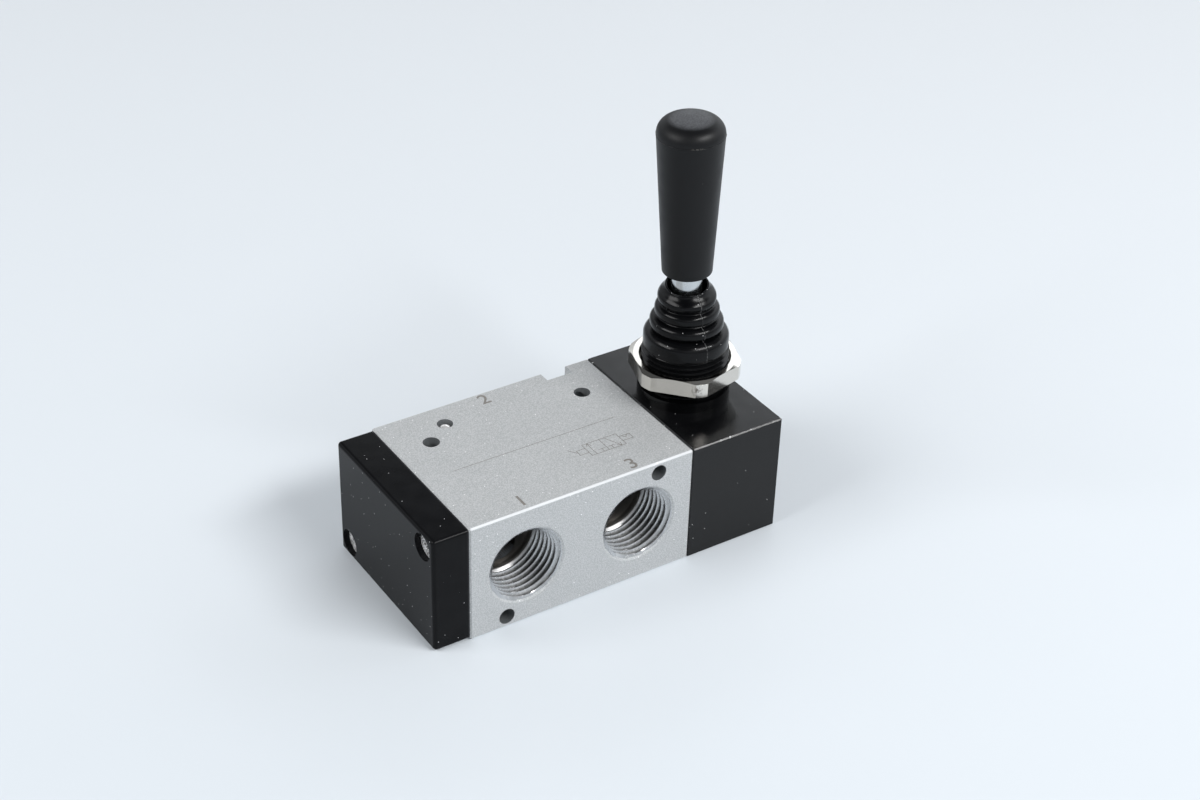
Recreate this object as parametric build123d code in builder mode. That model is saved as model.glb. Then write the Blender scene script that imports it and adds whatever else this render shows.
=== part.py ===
from build123d import *
from math import acos, cos, radians, sin, sqrt
import os

# Hand lever air valve, three ports and two positions, with a detented lever.
# X runs along the spool from the end cap to the lever block, Y from the front
# ports to the rear port, and Z up. The origin is the bottom centre of the valve.

# Outer blocks
cap_length = 10.0
body_length = 65.0
block_length = 28.0
body_depth = 50.0
body_height = 34.0
overall_height = 112.85
cap_inset = 0.3
cap_edge_radius = 1.0
body_edge_break = 0.4
block_edge_break = 0.3
joint_gap = 0.05

# Spool bore and the chambers around it
spool_axis_height = 17.0
spool_bore_radius = 8.0
chamber_radius = 10.0
chamber_width = 8.6
chamber_pitch = 15.5
window_height = 16.0

# Threaded ports, drawn at the crest radius of their threads
port_pitch = 16.5
port_thread_crest_radius = 9.32
port_mouth_radius = 11.0
port_depth = 14.5

# Mounting holes, notch and plugged passage of the valve body
mount_hole_radius = 2.2
top_hole_spacing = 45.0
top_hole_y = 11.75
side_hole_spacing = 44.2
side_hole_rise = 13.8
notch_width = 7.8
notch_depth = 3.8
notch_offset = 21.6
passage_edge_distance = 7.8
passage_depth = 12.0
plug_radius = 2.08
plug_recess = 0.5

# Screws at both ends, on a diagonal of the end faces
screw_radius = 2.0
screw_head_radius = 3.5
screw_head_height = 4.0
screw_socket_flats = 3.0
screw_socket_depth = 2.2
screw_engagement = 5.6
screw_hole_spare = 0.7
screw_clearance = 0.03
screw_pass_radius = 2.2
screw_well_radius = 3.65
screw_well_depth = 5.6
screw_low = (19.9, 4.7)
screw_high = (-19.5, 29.2)

# Rings between the blocks
face_ring_radius = 11.6
face_ring_section = 0.75
ring_groove_gap = 0.05

# Lever: pivot, rod and ball ends
pivot_height = 41.0
lever_lean = -1.6
lever_sweep = 14.0
rod_radius = 4.0
pivot_ball_radius = 6.9
pivot_pin_radius = 1.5
tip_ball_radius = 3.0
tip_neck_radius = 2.2
tip_neck_length = 7.5
rod_taper_start = 8.0
rod_thread_radius = 3.0
rod_thread_length = 20.0
rod_shoulder_depth = 3.0
rod_end_break = 0.5
running_gap = 0.05
pin_gap = 0.03
ball_gap = 0.04

# Collar on the lever block, with its nut
collar_radius = 11.42
collar_top = 48.2
collar_foot_radius = 12.2
collar_foot_gap = 3.5
lever_bore_radius = 7.0
neck_radius = 9.6
neck_height = 4.0
neck_groove_depth = 0.6
neck_groove_height = 1.2
neck_groove_rise = 1.4
nut_bottom = 40.4
nut_thickness = 4.4
nut_flats = 27.0
nut_corner_radius = 14.75
nut_chamfer = 0.45
nut_chamfer_drop = 0.675
nut_corner_angle = 13.0
nut_countersink = 0.6
pin_end_inset = 0.9

# Bellows boot, from the collar up: radius, bottom and top of each lobe, how round its foot
# and its shoulder are, and the radii of the grooves between them
boot_lobes = ((11.15, 0.0, 5.0, 0.0, 2.0), (9.6, 5.6, 8.7, 0.9, 1.5), (8.42, 9.4, 12.3, 0.7, 0.8),
              (7.6, 13.1, 15.6, 0.3, 2.4))
boot_grooves = (8.1, 7.3, 7.1)
boot_height = 17.9
boot_wall = 1.25
boot_lip_radius = 5.1
boot_lip_width = 0.65
boot_cuff_gap = 0.05
boot_groove_round = 0.1
boot_lip_round = 0.25
boot_lip_drop = 1.0

# Grip
grip_gap = 4.15
grip_bottom_radius = 6.5
grip_shoulder_radius = 8.62
grip_shoulder_round = 4.1
grip_crown_step = 0.2
grip_rim_round = 0.2
grip_bore_spare = 1.5
thread_gap = 0.04
insert_lead = 1.0
insert_radius = 4.6
insert_length = 12.0
insert_rim_radius = 5.2
insert_rim_width = 1.2

# Spool
spool_gap = 0.06
spool_neck_radius = 4.6
spool_flange_width = 3.4
spool_tail_radius = 6.0
spool_end_gap = 1.0
spool_end_wall = 3.5
spool_edge_break = 0.5
port_opening = 1.2
left_seal_margin = 1.3
right_seal_margin = 1.8
right_land_lead = 2.0
seal_section = 0.95
seal_clearance = 0.04
seal_groove_width = 2.2
wear_ring_width = 2.0
wear_ring_thickness = 1.1
wear_ring_split = 0.5
wear_ring_lead = 3.4
pocket_length = 10.4
pocket_floor_rise = 3.2
tip_hole_radius = 3.08
tip_hole_drop = 5.0

# Detent in the end cap
detent_ball_radius = 2.0
detent_lift = 0.4
detent_hole_floor = 3.6
detent_groove_gap = 0.05
sleeve_radius = 9.4
sleeve_fit_gap = 0.03
sleeve_tail_gap = 0.06
sleeve_end_lead = 2.4
sleeve_clear = 0.5
tail_end_lead = 2.8
tail_end_gap = 0.4
spring_wire_radius = 0.25
spring_coil_radius = 1.45
spring_pitch = 1.1

# Places along X, and the passage's place along Y
nut_land_angle = radians(30) - acos(nut_flats / 2 / nut_corner_radius)
nut_reach = nut_corner_radius * cos(radians(nut_corner_angle) - nut_land_angle)
overall_length = cap_length + body_length + block_length + max(0, nut_reach - block_length / 2)
cap_face_x = -overall_length / 2
body_start_x = cap_face_x + cap_length
block_start_x = body_start_x + body_length
block_end_x = block_start_x + block_length
body_middle_x = body_start_x + body_length / 2
lever_x = block_start_x + block_length / 2
supply_port_x = body_middle_x - port_pitch
outlet_port_x = body_middle_x
exhaust_port_x = body_middle_x + port_pitch
chamber_xs = [body_middle_x + n * chamber_pitch for n in (-1, 0, 1)]
passage_y = body_depth / 2 - passage_edge_distance

# Motion: the tip of the lever drives the spool
lever_arm = pivot_height - spool_axis_height
spool_travel = lever_arm * radians(lever_sweep)
tip_x = lever_x + lever_arm * sin(radians(-lever_lean))

# Heights stacked on the collar
collar_foot_top = nut_bottom - collar_foot_gap
neck_top = collar_top + neck_height
neck_groove_bottom = collar_top + neck_groove_rise
boot_top = collar_top + boot_height
grip_bottom_height = boot_top + grip_gap

# Places on the spool, with the lever as in the rest pose
half_flange = spool_flange_width / 2
left_seal_x = chamber_xs[0] - chamber_width / 2 - left_seal_margin
supply_seal_x = chamber_xs[0] + chamber_width / 2 - port_opening - half_flange + spool_travel
exhaust_seal_x = chamber_xs[2] - chamber_width / 2 + port_opening + half_flange
right_seal_x = chamber_xs[2] + chamber_width / 2 + spool_travel + right_seal_margin
right_land_x = right_seal_x - right_land_lead
wear_ring_x = right_seal_x + wear_ring_lead
spool_bore_end_x = block_end_x - spool_end_wall
spool_end_x = spool_bore_end_x - spool_end_gap
sleeve_start_x = left_seal_x - half_flange - spool_travel - sleeve_clear
detent_x = sleeve_start_x - sleeve_end_lead
tail_end_x = detent_x - tail_end_lead
cap_pocket_x = tail_end_x - spool_travel - tail_end_gap

# Planes and axes
spool_axis = Axis((0, 0, spool_axis_height), (1, 0, 0))
spool_plane = Plane(origin=(0, 0, spool_axis_height), x_dir=(1, 0, 0), z_dir=(0, -1, 0))
lever_up = (sin(radians(lever_lean)), 0, cos(radians(lever_lean)))
lever_side = (cos(radians(lever_lean)), 0, -sin(radians(lever_lean)))
lever_axis = Axis((lever_x, 0, pivot_height), lever_up)
lever_plane = Plane(origin=(lever_x, 0, pivot_height), x_dir=lever_side, z_dir=(0, -1, 0))
collar_axis = Axis((lever_x, 0, 0), (0, 0, 1))
collar_plane = Plane(origin=(lever_x, 0, 0), x_dir=(1, 0, 0), z_dir=(0, -1, 0))


def across(x):
    """Plane across the valve at x, looking along +X, with y to its right and z up."""
    return Plane(origin=(x, 0, 0), x_dir=(0, 1, 0), z_dir=(1, 0, 0))


def save(piece, name):
    piece.part.label = name
    export_step(piece.part, f"parts/{name}.step")


os.makedirs("parts", exist_ok=True)

# Valve body: extruded block with the spool bore, its chambers and the three ports
with BuildPart() as valve_body:
    with BuildSketch(across(body_start_x)):
        with Locations((0, body_height / 2)):
            Rectangle(body_depth, body_height)
    extrude(amount=body_length)
    chamfer(valve_body.edges(), body_edge_break)

    # Spool bore, with a wider seat for the detent sleeve at the cap end
    with BuildSketch(across(body_start_x)):
        with Locations((0, spool_axis_height)):
            Circle(spool_bore_radius)
    extrude(amount=body_length, mode=Mode.SUBTRACT)
    with BuildSketch(across(body_start_x)):
        with Locations((0, spool_axis_height)):
            Circle(sleeve_radius + sleeve_fit_gap)
    extrude(amount=sleeve_start_x - body_start_x, mode=Mode.SUBTRACT)

    # Annular chambers, one for each port
    for chamber_x in chamber_xs:
        with BuildSketch(across(chamber_x)):
            with Locations((0, spool_axis_height)):
                Circle(chamber_radius)
        extrude(amount=chamber_width / 2, both=True, mode=Mode.SUBTRACT)

    # Ports: chamfered mouth, tapped length, plain end, and a window into the chamber
    ports = ((supply_port_x, -1, chamber_xs[0]), (outlet_port_x, 1, chamber_xs[1]),
             (exhaust_port_x, -1, chamber_xs[2]))
    for port_x, side, chamber_x in ports:
        mouth = Plane(origin=(port_x, side * body_depth / 2, spool_axis_height),
                      x_dir=(1, 0, 0), z_dir=(0, -side, 0))
        with BuildSketch(mouth):
            Circle(port_mouth_radius)
        extrude(amount=port_mouth_radius - port_thread_crest_radius, taper=45, mode=Mode.SUBTRACT)
        with BuildSketch(mouth):
            Circle(port_thread_crest_radius)
        extrude(amount=port_depth, mode=Mode.SUBTRACT)
        window = Plane(origin=(chamber_x, side * body_depth / 2, spool_axis_height),
                       x_dir=(1, 0, 0), z_dir=(0, -side, 0))
        with BuildSketch(window.offset(port_depth)):
            SlotOverall(window_height, chamber_width, rotation=90)
        extrude(amount=body_depth / 2 - port_depth - spool_bore_radius / 2, mode=Mode.SUBTRACT)

    # Mounting holes: two down through the body, two across it on a diagonal
    with BuildSketch(Plane.XY):
        with Locations((body_middle_x - top_hole_spacing / 2, top_hole_y),
                       (body_middle_x + top_hole_spacing / 2, top_hole_y)):
            Circle(mount_hole_radius)
    extrude(amount=body_height, mode=Mode.SUBTRACT)
    with BuildSketch(spool_plane):
        with Locations((body_middle_x - side_hole_spacing / 2, -side_hole_rise),
                       (body_middle_x + side_hole_spacing / 2, side_hole_rise)):
            Circle(mount_hole_radius)
    extrude(amount=body_depth, both=True, mode=Mode.SUBTRACT)

    # Notch in the rear edge, and the plugged passage above the supply chamber
    with BuildSketch(Plane.XY):
        with Locations((body_middle_x + notch_offset, body_depth / 2)):
            Rectangle(notch_width, 2 * notch_depth)
    extrude(amount=body_height, mode=Mode.SUBTRACT)
    with BuildSketch(Plane.XY.offset(body_height)):
        with Locations((chamber_xs[0], passage_y)):
            Circle(plug_radius + pin_gap)
    extrude(amount=-passage_depth, mode=Mode.SUBTRACT)

    # Tapped holes for the end screws
    for end_x, inward in ((body_start_x, 1), (block_start_x, -1)):
        with BuildSketch(across(end_x)):
            with Locations(screw_low, screw_high):
                Circle(screw_radius + screw_clearance)
        extrude(amount=inward * (screw_engagement + screw_hole_spare), mode=Mode.SUBTRACT)
save(valve_body, "valve_body")

# Ball pressed into the plugged passage
with BuildPart() as passage_plug:
    with BuildSketch(Plane(origin=(chamber_xs[0], passage_y, body_height - plug_recess - plug_radius),
                           x_dir=(1, 0, 0), z_dir=(0, -1, 0))):
        with BuildLine():
            CenterArc((0, 0), plug_radius, -90, 180)
            Line((0, plug_radius), (0, -plug_radius))
        make_face()
    revolve(axis=Axis((chamber_xs[0], passage_y, 0), (0, 0, 1)))
save(passage_plug, "passage_plug")

# End cap: rounded block over the detent, with wells for its screws
with BuildPart() as end_cap:
    with BuildSketch(across(cap_face_x)):
        with Locations((0, body_height / 2)):
            Rectangle(body_depth - 2 * cap_inset, body_height - 2 * cap_inset)
    extrude(amount=cap_length - joint_gap)
    inner_rim = end_cap.faces().sort_by(Axis.X)[-1].edges()
    fillet(end_cap.edges() - inner_rim, cap_edge_radius)
    with BuildSketch(across(body_start_x)):
        with Locations((0, spool_axis_height)):
            Circle(sleeve_radius + sleeve_fit_gap)
    extrude(amount=cap_pocket_x - body_start_x, mode=Mode.SUBTRACT)
    with BuildSketch(across(body_start_x - joint_gap)):
        with Locations((0, spool_axis_height)):
            Circle(face_ring_radius + face_ring_section + ring_groove_gap)
            Circle(face_ring_radius - face_ring_section - ring_groove_gap, mode=Mode.SUBTRACT)
    extrude(amount=-(2 * face_ring_section + ring_groove_gap), mode=Mode.SUBTRACT)
    with BuildSketch(across(cap_face_x)):
        with Locations(screw_low, screw_high):
            Circle(screw_pass_radius)
    extrude(amount=cap_length, mode=Mode.SUBTRACT)
    with BuildSketch(across(cap_face_x)):
        with Locations(screw_low, screw_high):
            Circle(screw_well_radius)
    extrude(amount=screw_well_depth, mode=Mode.SUBTRACT)
save(end_cap, "end_cap")

# Lever block: bored for the spool and the lever, with the threaded collar on top
with BuildPart() as lever_housing:
    with BuildSketch(across(block_start_x + joint_gap)):
        with Locations((0, body_height / 2)):
            Rectangle(body_depth, body_height)
    extrude(amount=block_length - joint_gap)
    chamfer(lever_housing.edges(), block_edge_break)
    with BuildSketch(collar_plane):
        with BuildLine():
            Polyline((0, body_height / 2), (collar_foot_radius, body_height / 2),
                     (collar_foot_radius, collar_foot_top), (collar_radius, collar_foot_top),
                     (collar_radius, collar_top), (neck_radius, collar_top),
                     (neck_radius, neck_groove_bottom),
                     (neck_radius - neck_groove_depth, neck_groove_bottom),
                     (neck_radius - neck_groove_depth, neck_groove_bottom + neck_groove_height),
                     (neck_radius, neck_groove_bottom + neck_groove_height),
                     (neck_radius, neck_top), (0, neck_top), close=True)
        make_face()
    revolve(axis=collar_axis)
    with BuildSketch(across(block_start_x)):
        with Locations((0, spool_axis_height)):
            Circle(spool_bore_radius)
    extrude(amount=spool_bore_end_x - block_start_x, mode=Mode.SUBTRACT)
    with BuildSketch(Plane.XY.offset(spool_axis_height)):
        with Locations((lever_x, 0)):
            Circle(lever_bore_radius)
    extrude(amount=neck_top - spool_axis_height, mode=Mode.SUBTRACT)
    with BuildSketch(Plane(origin=(lever_x, 0, pivot_height), x_dir=(1, 0, 0), z_dir=(0, -1, 0))):
        Circle(pivot_pin_radius + pin_gap)
    extrude(amount=collar_radius, both=True, mode=Mode.SUBTRACT)
    with BuildSketch(across(block_start_x + joint_gap)):
        with Locations((0, spool_axis_height)):
            Circle(face_ring_radius + face_ring_section + ring_groove_gap)
            Circle(face_ring_radius - face_ring_section - ring_groove_gap, mode=Mode.SUBTRACT)
    extrude(amount=2 * face_ring_section + ring_groove_gap, mode=Mode.SUBTRACT)
    with BuildSketch(across(block_end_x)):
        with Locations(screw_low, screw_high):
            Circle(screw_pass_radius)
    extrude(amount=-block_length, mode=Mode.SUBTRACT)
    with BuildSketch(across(block_end_x)):
        with Locations(screw_low, screw_high):
            Circle(screw_well_radius)
    extrude(amount=-screw_well_depth, mode=Mode.SUBTRACT)
save(lever_housing, "lever_housing")

# Face rings: one in the end cap, one in the lever block
for name, ring_x in (("end_cap_seal", body_start_x - joint_gap - face_ring_section),
                     ("housing_seal", block_start_x + joint_gap + face_ring_section)):
    with BuildPart() as face_ring:
        with BuildSketch(spool_plane):
            with Locations((ring_x, face_ring_radius)):
                Circle(face_ring_section)
        revolve(axis=spool_axis)
    save(face_ring, name)

# Socket head screws: a pair in the end cap and a longer pair through the lever block
for name, head_x, inward, clamped_length in (
        ("end_cap_screws", cap_face_x + screw_well_depth, 1, cap_length - screw_well_depth),
        ("housing_screws", block_end_x - screw_well_depth, -1, block_length - screw_well_depth)):
    with BuildPart() as screws:
        with BuildSketch(across(head_x)):
            with Locations(screw_low, screw_high):
                Circle(screw_head_radius)
        extrude(amount=-inward * screw_head_height)
        with BuildSketch(across(head_x)):
            with Locations(screw_low, screw_high):
                Circle(screw_radius)
        extrude(amount=inward * (clamped_length + screw_engagement))
        with BuildSketch(across(head_x - inward * screw_head_height)):
            with Locations(screw_low, screw_high):
                RegularPolygon(screw_socket_flats / 2, 6, major_radius=False)
        extrude(amount=inward * screw_socket_depth, mode=Mode.SUBTRACT)
    save(screws, name)

# Panel nut: hexagon with its corners turned down and both faces chamfered
with BuildPart() as panel_nut:
    nut_base = Plane(origin=(lever_x, 0, nut_bottom))
    with BuildSketch(nut_base):
        RegularPolygon(nut_flats / 2, 6, major_radius=False, rotation=nut_corner_angle)
    extrude(amount=nut_thickness)
    with BuildSketch(nut_base):
        Circle(nut_corner_radius)
    extrude(amount=nut_thickness, mode=Mode.INTERSECT)
    with BuildSketch(collar_plane):
        with BuildLine():
            Polyline((nut_flats / 2, nut_bottom + nut_thickness),
                     (nut_corner_radius + nut_chamfer, nut_bottom + nut_thickness),
                     (nut_corner_radius + nut_chamfer, nut_bottom + nut_thickness - nut_chamfer_drop),
                     close=True)
        make_face()
    revolve(axis=collar_axis, mode=Mode.SUBTRACT)
    with BuildSketch(nut_base):
        Circle(collar_radius + running_gap)
    extrude(amount=nut_thickness, mode=Mode.SUBTRACT)
    bore_rims = panel_nut.edges().filter_by(GeomType.CIRCLE)
    bore_rims = bore_rims.filter_by(lambda e: abs(e.radius - collar_radius - running_gap) < joint_gap / 2)
    chamfer(bore_rims, nut_countersink)
save(panel_nut, "panel_nut")

# Pivot pin across the collar, trapped by the nut
with BuildPart() as pivot_pin:
    with BuildSketch(Plane(origin=(lever_x, 0, pivot_height), x_dir=(1, 0, 0), z_dir=(0, -1, 0))):
        Circle(pivot_pin_radius)
    extrude(amount=collar_radius - pin_end_inset, both=True)
save(pivot_pin, "pivot_pin")

# Lever rod: ball tip in the spool, pivot ball in the collar and a shank up into the grip
grip_start = (grip_bottom_height - pivot_height) / cos(radians(lever_lean))
rod_shoulder = grip_start + rod_shoulder_depth
rod_end = rod_shoulder + rod_thread_length
ball_join = sqrt(pivot_ball_radius ** 2 - rod_radius ** 2)
tip_join = sqrt(tip_ball_radius ** 2 - tip_neck_radius ** 2) - lever_arm
neck_end = tip_join + tip_neck_length
with BuildPart() as lever_rod:
    with BuildSketch(lever_plane):
        with BuildLine():
            Polyline((0, rod_end), (rod_thread_radius - rod_end_break, rod_end),
                     (rod_thread_radius, rod_end - rod_end_break),
                     (rod_thread_radius, rod_shoulder), (rod_radius, rod_shoulder),
                     (rod_radius, ball_join))
            ThreePointArc((rod_radius, ball_join), (pivot_ball_radius, 0), (rod_radius, -ball_join))
            Polyline((rod_radius, -ball_join), (rod_radius, -rod_taper_start),
                     (tip_neck_radius, neck_end), (tip_neck_radius, tip_join))
            ThreePointArc((tip_neck_radius, tip_join), (tip_ball_radius, -lever_arm),
                          (0, -lever_arm - tip_ball_radius))
            Line((0, -lever_arm - tip_ball_radius), (0, rod_end))
        make_face()
    revolve(axis=lever_axis)
    with BuildSketch(lever_plane):
        Circle(pivot_pin_radius + ball_gap)
    extrude(amount=pivot_ball_radius, both=True, mode=Mode.SUBTRACT)
save(lever_rod, "lever_rod")

# Threaded insert with a retaining rim, and the grip moulded over it
insert_start = rod_shoulder + insert_lead
insert_end = insert_start + insert_length
insert_rim_start = insert_start + (insert_length - insert_rim_width) / 2
insert_rim_end = insert_rim_start + insert_rim_width
with BuildPart() as grip_insert:
    with BuildSketch(lever_plane):
        with BuildLine():
            Polyline((rod_thread_radius + thread_gap, insert_start), (insert_radius, insert_start),
                     (insert_radius, insert_rim_start), (insert_rim_radius, insert_rim_start),
                     (insert_rim_radius, insert_rim_end), (insert_radius, insert_rim_end),
                     (insert_radius, insert_end), (rod_thread_radius + thread_gap, insert_end), close=True)
        make_face()
    revolve(axis=lever_axis)
save(grip_insert, "grip_insert")

# Grip: slim taper with a rounded rim below and a domed shoulder above
grip_top = (overall_height - pivot_height) / cos(radians(lever_lean))
with BuildPart() as grip:
    with BuildSketch(lever_plane):
        with BuildLine():
            FilletPolyline((0, grip_start), (grip_bottom_radius, grip_start),
                           (grip_shoulder_radius, grip_top - grip_shoulder_round),
                           (grip_shoulder_radius, grip_top), (0, grip_top),
                           radius=[0, grip_rim_round, 0, grip_shoulder_round - grip_crown_step, 0],
                           close=True)
        make_face()
    revolve(axis=lever_axis)
    with BuildSketch(lever_plane):
        with BuildLine():
            Polyline((0, grip_start), (rod_radius + thread_gap, grip_start),
                     (rod_radius + thread_gap, rod_shoulder + thread_gap),
                     (rod_thread_radius + thread_gap, rod_shoulder + thread_gap),
                     (rod_thread_radius + thread_gap, insert_start - thread_gap),
                     (insert_radius + thread_gap, insert_start - thread_gap),
                     (insert_radius + thread_gap, insert_rim_start - thread_gap),
                     (insert_rim_radius + thread_gap, insert_rim_start - thread_gap),
                     (insert_rim_radius + thread_gap, insert_rim_end + thread_gap),
                     (insert_radius + thread_gap, insert_rim_end + thread_gap),
                     (insert_radius + thread_gap, insert_end + thread_gap),
                     (rod_thread_radius + thread_gap, insert_end + thread_gap),
                     (rod_thread_radius + thread_gap, rod_end + grip_bore_spare),
                     (0, rod_end + grip_bore_spare), close=True)
        make_face()
    revolve(axis=lever_axis, mode=Mode.SUBTRACT)
save(grip, "grip")

# Bellows boot: an outer wall of rounded lobes and an inner wall that follows them
lobe_radii = [lobe[0] for lobe in boot_lobes]
lobe_bottoms = [collar_top + lobe[1] for lobe in boot_lobes]
lobe_tops = [collar_top + lobe[2] for lobe in boot_lobes]
lobe_middles = [(bottom + top) / 2 for bottom, top in zip(lobe_bottoms, lobe_tops)]
groove_heights = [(top + bottom) / 2 for top, bottom in zip(lobe_tops, lobe_bottoms[1:])]
cuff_radius = neck_radius + boot_cuff_gap
bead_radius = neck_radius - neck_groove_depth + boot_cuff_gap
bead_bottom = neck_groove_bottom + boot_cuff_gap
bead_top = neck_groove_bottom + neck_groove_height - boot_cuff_gap
outer_points = []
outer_rounds = []
for (radius, low, high, foot_round, shoulder_round), groove, height in zip(
        boot_lobes, boot_grooves + (boot_lip_radius + boot_lip_width,), groove_heights + [boot_top]):
    outer_points += [(radius, collar_top + low), (radius, collar_top + high), (groove, height)]
    outer_rounds += [foot_round, shoulder_round, boot_groove_round]
outer_points += [(boot_lip_radius, boot_top)]
outer_rounds[-1] = boot_lip_round
outer_rounds += [boot_lip_round]
inner_points = [(boot_lip_radius, lobe_middles[-1] + boot_lip_drop)]
for radius, middle, groove, height in reversed(list(zip(
        lobe_radii[1:], lobe_middles[1:], boot_grooves, groove_heights))):
    inner_points += [(radius - boot_wall, middle), (groove - boot_wall, height)]
inner_rounds = [boot_groove_round] * len(inner_points)
cuff_points = [(boot_grooves[0] - boot_wall, neck_top + boot_cuff_gap),
               (cuff_radius, neck_top + boot_cuff_gap), (cuff_radius, bead_top),
               (bead_radius, bead_top), (bead_radius, bead_bottom),
               (cuff_radius, bead_bottom), (cuff_radius, collar_top)]
with BuildPart() as boot:
    with BuildSketch(collar_plane):
        with BuildLine():
            FilletPolyline(*outer_points, *inner_points, *cuff_points,
                           radius=outer_rounds + inner_rounds + [0] * len(cuff_points), close=True)
        make_face()
    revolve(axis=collar_axis)
save(boot, "boot")

# Spool: turned tail, sealed flanges and a shank that the lever tip drives
tail_steps = [(tail_end_x, spool_tail_radius), (left_seal_x - half_flange, spool_tail_radius)]
flange_xs = (left_seal_x, supply_seal_x, exhaust_seal_x)
land_radius = spool_bore_radius - spool_gap
seal_radius = spool_bore_radius - seal_clearance - seal_section
wear_ring_floor = spool_bore_radius - wear_ring_thickness - 2 * seal_clearance
outline = [(tail_end_x, 0), *tail_steps]
for flange_x in flange_xs:
    outline += [(flange_x - half_flange, land_radius), (flange_x + half_flange, land_radius),
                (flange_x + half_flange, spool_neck_radius)]
    following = [x for x in (*flange_xs, right_land_x + half_flange) if x > flange_x][0]
    outline += [(following - half_flange, spool_neck_radius)]
outline += [(right_land_x, land_radius), (spool_end_x, land_radius), (spool_end_x, 0)]
with BuildPart() as spool:
    with BuildSketch(spool_plane):
        with BuildLine():
            Polyline(*outline, close=True)
        make_face()
    revolve(axis=spool_axis)
    rims = spool.edges().filter_by(GeomType.CIRCLE)
    rims = rims.filter_by(lambda rim: rim.radius > spool_tail_radius - spool_gap)
    convex_rims = rims.filter_by(lambda rim: rim.radius > spool_tail_radius + spool_gap
                                 or rim.center().X < detent_x)
    chamfer(convex_rims, spool_edge_break)
    with BuildSketch(spool_plane):
        for seal_x in (*flange_xs, right_seal_x):
            with Locations((seal_x, seal_radius - seal_section - seal_clearance)):
                Rectangle(seal_groove_width, spool_bore_radius, align=(Align.CENTER, Align.MIN))
        with Locations((wear_ring_x, wear_ring_floor)):
            Rectangle(wear_ring_width + seal_clearance, spool_bore_radius, align=(Align.CENTER, Align.MIN))
    revolve(axis=spool_axis, mode=Mode.SUBTRACT)

    # Flat and blind hole for the lever tip, and the detent's cross hole
    with BuildSketch(spool_plane):
        with Locations((tip_x, pocket_floor_rise)):
            Rectangle(pocket_length, spool_bore_radius, align=(Align.CENTER, Align.MIN))
    extrude(amount=spool_bore_radius, both=True, mode=Mode.SUBTRACT)
    with BuildSketch(Plane.XY.offset(spool_axis_height - tip_hole_drop)):
        with Locations((tip_x, 0)):
            Circle(tip_hole_radius)
    extrude(amount=tip_hole_drop + spool_bore_radius, mode=Mode.SUBTRACT)
    with BuildSketch(Plane.XY.offset(spool_axis_height - detent_hole_floor)):
        with Locations((detent_x, 0)):
            Circle(detent_ball_radius + ball_gap)
    extrude(amount=detent_hole_floor + spool_tail_radius, mode=Mode.SUBTRACT)
save(spool, "spool")

# Rings on the spool: four sliding seals and a split wear ring
for number, seal_x in enumerate((*flange_xs, right_seal_x), start=1):
    with BuildPart() as spool_seal:
        with BuildSketch(spool_plane):
            with Locations((seal_x, seal_radius)):
                Circle(seal_section)
        revolve(axis=spool_axis)
    save(spool_seal, f"spool_seal_{number}")
with BuildPart() as wear_ring:
    with BuildSketch(across(wear_ring_x)):
        with Locations((0, spool_axis_height)):
            Circle(spool_bore_radius - seal_clearance)
            Circle(spool_bore_radius - seal_clearance - wear_ring_thickness, mode=Mode.SUBTRACT)
        with Locations((0, spool_axis_height - spool_bore_radius)):
            Rectangle(wear_ring_split, spool_bore_radius, mode=Mode.SUBTRACT)
    extrude(amount=wear_ring_width / 2, both=True)
save(wear_ring, "wear_ring")

# Detent: sleeve with two grooves one stroke apart, a ball and its spring
ball_rise = spool_tail_radius - detent_ball_radius
with BuildPart() as detent_sleeve:
    with BuildSketch(across(cap_pocket_x + sleeve_fit_gap)):
        with Locations((0, spool_axis_height)):
            Circle(sleeve_radius)
            Circle(spool_tail_radius + sleeve_tail_gap, mode=Mode.SUBTRACT)
    extrude(amount=sleeve_start_x - sleeve_fit_gap - cap_pocket_x - sleeve_fit_gap)
    for groove_x in (detent_x, detent_x - spool_travel):
        with BuildSketch(spool_plane):
            with Locations((groove_x, ball_rise + detent_lift)):
                Circle(detent_ball_radius + detent_groove_gap)
        revolve(axis=spool_axis, mode=Mode.SUBTRACT)
save(detent_sleeve, "detent_sleeve")

with BuildPart() as detent_ball:
    with BuildSketch(Plane(origin=(detent_x, 0, spool_axis_height + ball_rise), x_dir=(1, 0, 0),
                           z_dir=(0, -1, 0))):
        with BuildLine():
            CenterArc((0, 0), detent_ball_radius, -90, 180)
            Line((0, detent_ball_radius), (0, -detent_ball_radius))
        make_face()
    revolve(axis=Axis((detent_x, 0, 0), (0, 0, 1)))
save(detent_ball, "detent_ball")

spring_bottom = spool_axis_height - detent_hole_floor + spring_wire_radius
spring_height = detent_hole_floor + ball_rise - detent_ball_radius - 2 * spring_wire_radius - joint_gap
with BuildPart() as detent_spring:
    with BuildLine() as coil:
        Helix(spring_pitch, spring_height, spring_coil_radius, center=(detent_x, 0, spring_bottom))
    with BuildSketch(Plane(origin=coil.line @ 0, z_dir=coil.line % 0)):
        Circle(spring_wire_radius)
    sweep(path=coil.line, is_frenet=True)
save(detent_spring, "detent_spring")
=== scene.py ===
from math import cos, pi, radians, sin

import bmesh
import bpy
from mathutils import Matrix, Vector


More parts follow.
